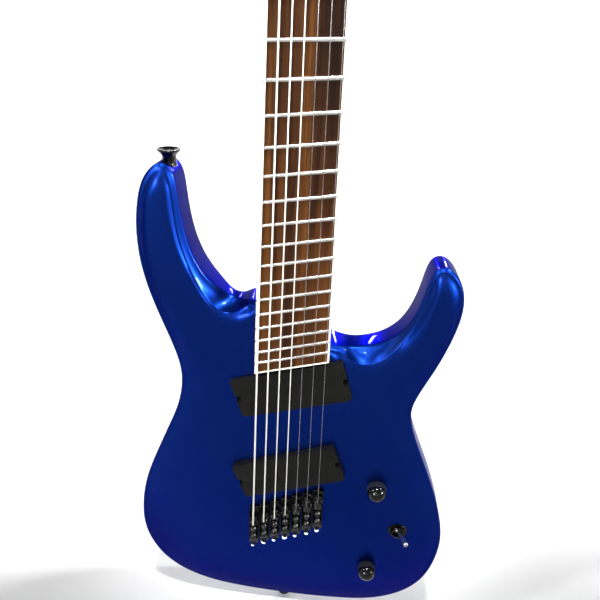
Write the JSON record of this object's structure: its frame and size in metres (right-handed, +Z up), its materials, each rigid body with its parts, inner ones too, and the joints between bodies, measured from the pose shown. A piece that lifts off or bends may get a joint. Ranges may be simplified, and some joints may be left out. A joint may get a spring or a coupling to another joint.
{
  "type": "electric guitar",
  "caption": "Solid-body electric guitar with fanned frets, deep carved cutaways, covered pickups, separate bridge units, turning knobs, pickup switch and in-line tuners.",
  "frame": {"origin": "centre of the end strap button's outer face, on the neck's centreline, the lowest point of the guitar", "axes": "+Z up the neck towards the headstock, -Y out of the guitar's face towards the player's audience, +X towards the treble side"},
  "size_m": [0.298, 0.0726, 1.0404],
  "materials": {
    "blue_lacquered_wood": "high-gloss metallic blue lacquer",
    "satin_maple": "satin, with a blue lacquered face on the headstock",
    "dark_rosewood": "oiled, open grain",
    "black_graphite_nut": "satin",
    "black_plastic": "satin",
    "black_satin_plastic": "fine satin",
    "steel_can": "satin",
    "black_hardware": "black nickel",
    "black_bridge": "black nickel",
    "steel_lever": "polished",
    "battery_case": "satin",
    "black_knob": "satin with a polished dome",
    "wound_string": "wound, bright",
    "plain_string": "drawn, bright"
  },
  "bodies": {
    "guitar": {"body": "blue_lacquered_wood", "neck": "satin_maple", "fingerboard": "dark_rosewood", "nut": "black_graphite_nut", "truss_rod_cover": "black_plastic", "control_cover": "black_plastic", "neck_pickup": "black_satin_plastic", "bridge_pickup": "black_satin_plastic", "volume_pot": "steel_can", "tone_pot": "steel_can", "toggle_switch": "black_hardware", "output_jack": "black_hardware", "strap_button_end": "black_hardware", "strap_button_horn": "black_hardware", "battery": "battery_case", "tuner_housing_1": "black_hardware", "string_1": "plain_string", "bridge_base_1": "black_bridge", "saddle_1": "black_bridge", "tuner_housing_2": "black_hardware", "string_2": "plain_string", "bridge_base_2": "black_bridge", "saddle_2": "black_bridge", "tuner_housing_3": "black_hardware", "string_3": "plain_string", "bridge_base_3": "black_bridge", "saddle_3": "black_bridge", "tuner_housing_4": "black_hardware", "string_4": "wound_string", "bridge_base_4": "black_bridge", "saddle_4": "black_bridge", "tuner_housing_5": "black_hardware", "string_5": "wound_string", "bridge_base_5": "black_bridge", "saddle_5": "black_bridge", "tuner_housing_6": "black_hardware", "string_6": "wound_string", "bridge_base_6": "black_bridge", "saddle_6": "black_bridge", "tuner_housing_7": "black_hardware", "string_7": "wound_string", "bridge_base_7": "black_bridge", "saddle_7": "black_bridge"},
    "volume_knob": {"volume_knob": "black_knob"},
    "tone_knob": {"tone_knob": "black_knob"},
    "toggle_lever": {"toggle_lever": "steel_lever"},
    "tuner_button_7": {"tuner_button_7": "black_hardware"},
    "tuner_post_7": {"tuner_post_7": "black_hardware"},
    "tuner_button_6": {"tuner_button_6": "black_hardware"},
    "tuner_post_6": {"tuner_post_6": "black_hardware"},
    "tuner_button_5": {"tuner_button_5": "black_hardware"},
    "tuner_post_5": {"tuner_post_5": "black_hardware"},
    "tuner_button_4": {"tuner_button_4": "black_hardware"},
    "tuner_post_4": {"tuner_post_4": "black_hardware"},
    "tuner_button_3": {"tuner_button_3": "black_hardware"},
    "tuner_post_3": {"tuner_post_3": "black_hardware"},
    "tuner_button_2": {"tuner_button_2": "black_hardware"},
    "tuner_post_2": {"tuner_post_2": "black_hardware"},
    "tuner_button_1": {"tuner_button_1": "black_hardware"},
    "tuner_post_1": {"tuner_post_1": "black_hardware"}
  },
  "joints": [
    {"name": "volume_turn", "type": "hinge", "parent": "guitar", "child": "volume_knob", "pos_m": [0.0823, -0.0175, 0.1838], "axis": [0, 1, 0], "range_deg": [-270, 0]},
    {"name": "tone_turn", "type": "hinge", "parent": "guitar", "child": "tone_knob", "pos_m": [0.0836, -0.0175, 0.0751], "axis": [0, 1, 0], "range_deg": [-270, 0]},
    {"name": "pickup_switch", "type": "hinge", "parent": "guitar", "child": "toggle_lever", "pos_m": [0.1079, -0.0149, 0.1308], "axis": [0.342, 0, -0.9397], "range_deg": [0, 38]},
    {"name": "tuner_button_7_turn", "type": "hinge", "parent": "guitar", "child": "tuner_button_7", "pos_m": [-0.03025, 0.00854, 0.8741], "axis": [-0.9723, 0.0365, 0.2308], "continuous": true},
    {"name": "tuner_post_7_turn", "type": "hinge", "parent": "guitar", "child": "tuner_post_7", "pos_m": [-0.02209, -0.01187, 0.87056], "axis": [0, -0.9877, 0.1564], "continuous": true},
    {"name": "tuner_button_6_turn", "type": "hinge", "parent": "guitar", "child": "tuner_button_6", "pos_m": [-0.02377, 0.01229, 0.89781], "axis": [-0.9723, 0.0365, 0.2308], "continuous": true},
    {"name": "tuner_post_6_turn", "type": "hinge", "parent": "guitar", "child": "tuner_post_6", "pos_m": [-0.01561, -0.00811, 0.89426], "axis": [0, -0.9877, 0.1564], "continuous": true},
    {"name": "tuner_button_5_turn", "type": "hinge", "parent": "guitar", "child": "tuner_button_5", "pos_m": [-0.01758, 0.01605, 0.92151], "axis": [-0.9723, 0.0365, 0.2308], "continuous": true},
    {"name": "tuner_post_5_turn", "type": "hinge", "parent": "guitar", "child": "tuner_post_5", "pos_m": [-0.00942, -0.00436, 0.91797], "axis": [0, -0.9877, 0.1564], "continuous": true},
    {"name": "tuner_button_4_turn", "type": "hinge", "parent": "guitar", "child": "tuner_button_4", "pos_m": [-0.01168, 0.0198, 0.94521], "axis": [-0.9723, 0.0365, 0.2308], "continuous": true},
    {"name": "tuner_post_4_turn", "type": "hinge", "parent": "guitar", "child": "tuner_post_4", "pos_m": [-0.00352, -0.00061, 0.94167], "axis": [0, -0.9877, 0.1564], "continuous": true},
    {"name": "tuner_button_3_turn", "type": "hinge", "parent": "guitar", "child": "tuner_button_3", "pos_m": [-0.00599, 0.02355, 0.96892], "axis": [-0.9723, 0.0365, 0.2308], "continuous": true},
    {"name": "tuner_post_3_turn", "type": "hinge", "parent": "guitar", "child": "tuner_post_3", "pos_m": [0.00217, 0.00315, 0.96537], "axis": [0, -0.9877, 0.1564], "continuous": true},
    {"name": "tuner_button_2_turn", "type": "hinge", "parent": "guitar", "child": "tuner_button_2", "pos_m": [-0.00068, 0.02731, 0.99262], "axis": [-0.9723, 0.0365, 0.2308], "continuous": true},
    {"name": "tuner_post_2_turn", "type": "hinge", "parent": "guitar", "child": "tuner_post_2", "pos_m": [0.00748, 0.0069, 0.98908], "axis": [0, -0.9877, 0.1564], "continuous": true},
    {"name": "tuner_button_1_turn", "type": "hinge", "parent": "guitar", "child": "tuner_button_1", "pos_m": [0.00435, 0.03106, 1.01633], "axis": [-0.9723, 0.0365, 0.2308], "continuous": true},
    {"name": "tuner_post_1_turn", "type": "hinge", "parent": "guitar", "child": "tuner_post_1", "pos_m": [0.01251, 0.01066, 1.01278], "axis": [0, -0.9877, 0.1564], "continuous": true}
  ],
  "couplings": [
    {"joint": "tuner_post_7_turn", "follows": "tuner_button_7_turn", "ratio": 0.066667},
    {"joint": "tuner_post_6_turn", "follows": "tuner_button_6_turn", "ratio": 0.066667},
    {"joint": "tuner_post_5_turn", "follows": "tuner_button_5_turn", "ratio": 0.066667},
    {"joint": "tuner_post_4_turn", "follows": "tuner_button_4_turn", "ratio": 0.066667},
    {"joint": "tuner_post_3_turn", "follows": "tuner_button_3_turn", "ratio": 0.066667},
    {"joint": "tuner_post_2_turn", "follows": "tuner_button_2_turn", "ratio": 0.066667},
    {"joint": "tuner_post_1_turn", "follows": "tuner_button_1_turn", "ratio": 0.066667}
  ]
}
